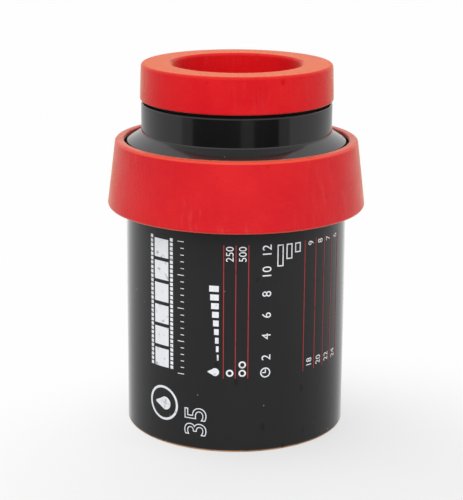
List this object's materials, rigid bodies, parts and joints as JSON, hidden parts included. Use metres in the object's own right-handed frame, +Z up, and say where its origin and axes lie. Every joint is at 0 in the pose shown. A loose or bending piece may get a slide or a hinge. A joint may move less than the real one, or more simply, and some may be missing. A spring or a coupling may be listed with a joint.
{
  "type": "film developing canister",
  "caption": "Round light-tight tank for developing roll film, with a soft clamping ring, a dished pour cap, a light-trap funnel, a centre column and twist-loading spiral reels.",
  "frame": {"origin": "middle of the base, on the surface that the tank stands on", "axes": "+Z up along the tank's axis, out of the pouring neck; -Y towards the camera of the picture; +X to its right"},
  "size_m": [0.0954, 0.0954, 0.136],
  "materials": {
    "black_plastic": "glossy injection-moulded black",
    "red_plastic": "satin flexible red, worn paler on its edges",
    "reel_plastic": "satin off-white"
  },
  "bodies": {
    "tank": {"tank_body": "black_plastic"},
    "lid": {"lid_shell": "black_plastic", "light_trap_funnel": "black_plastic", "clamp_ring": "red_plastic"},
    "cap": {"pour_cap": "red_plastic"},
    "column": {"centre_column": "black_plastic", "column_foot": "black_plastic"},
    "clip": {"reel_clip": "red_plastic"},
    "reel_1_base": {"reel_1_lower": "reel_plastic"},
    "reel_1_top": {"reel_1_upper": "reel_plastic"},
    "reel_1_tab": {"reel_1_stop": "red_plastic"},
    "reel_2_base": {"reel_2_lower": "reel_plastic"},
    "reel_2_top": {"reel_2_upper": "reel_plastic"},
    "reel_2_tab": {"reel_2_stop": "red_plastic"}
  },
  "joints": [
    {"name": "lid_lift", "type": "slide", "parent": "tank", "child": "lid", "axis": [0, 0, 1], "range_m": [0, 0.21]},
    {"name": "cap_lift", "type": "slide", "parent": "lid", "child": "cap", "axis": [0, 0, 1], "range_m": [0, 0.04]},
    {"name": "column_lift", "type": "slide", "parent": "tank", "child": "column", "axis": [0, 0, 1], "range_m": [0, 0.105]},
    {"name": "clip_slide", "type": "slide", "parent": "column", "child": "clip", "axis": [0, 0, 1], "range_m": [0, 0.0055]},
    {"name": "reel_1_turn", "type": "hinge", "parent": "column", "child": "reel_1_base", "pos_m": [0, 0, 0.0121], "axis": [0, 0, 1], "continuous": true},
    {"name": "reel_1_twist", "type": "hinge", "parent": "reel_1_base", "child": "reel_1_top", "pos_m": [0, 0, 0.0507], "axis": [0, 0, 1], "range_deg": [-15, 15]},
    {"name": "reel_1_stop_push", "type": "slide", "parent": "reel_1_top", "child": "reel_1_tab", "axis": [-0.7071, -0.7071, 0], "range_m": [0, 0.0024]},
    {"name": "reel_2_turn", "type": "hinge", "parent": "column", "child": "reel_2_base", "pos_m": [0, 0, 0.0511], "axis": [0, 0, 1], "continuous": true},
    {"name": "reel_2_twist", "type": "hinge", "parent": "reel_2_base", "child": "reel_2_top", "pos_m": [0, 0, 0.0897], "axis": [0, 0, 1], "range_deg": [-15, 15]},
    {"name": "reel_2_stop_push", "type": "slide", "parent": "reel_2_top", "child": "reel_2_tab", "axis": [-0.7071, -0.7071, 0], "range_m": [0, 0.0024]}
  ],
  "couplings": [
    {"joint": "column_lift", "follows": "lid_lift", "ratio": 0.5}
  ]
}
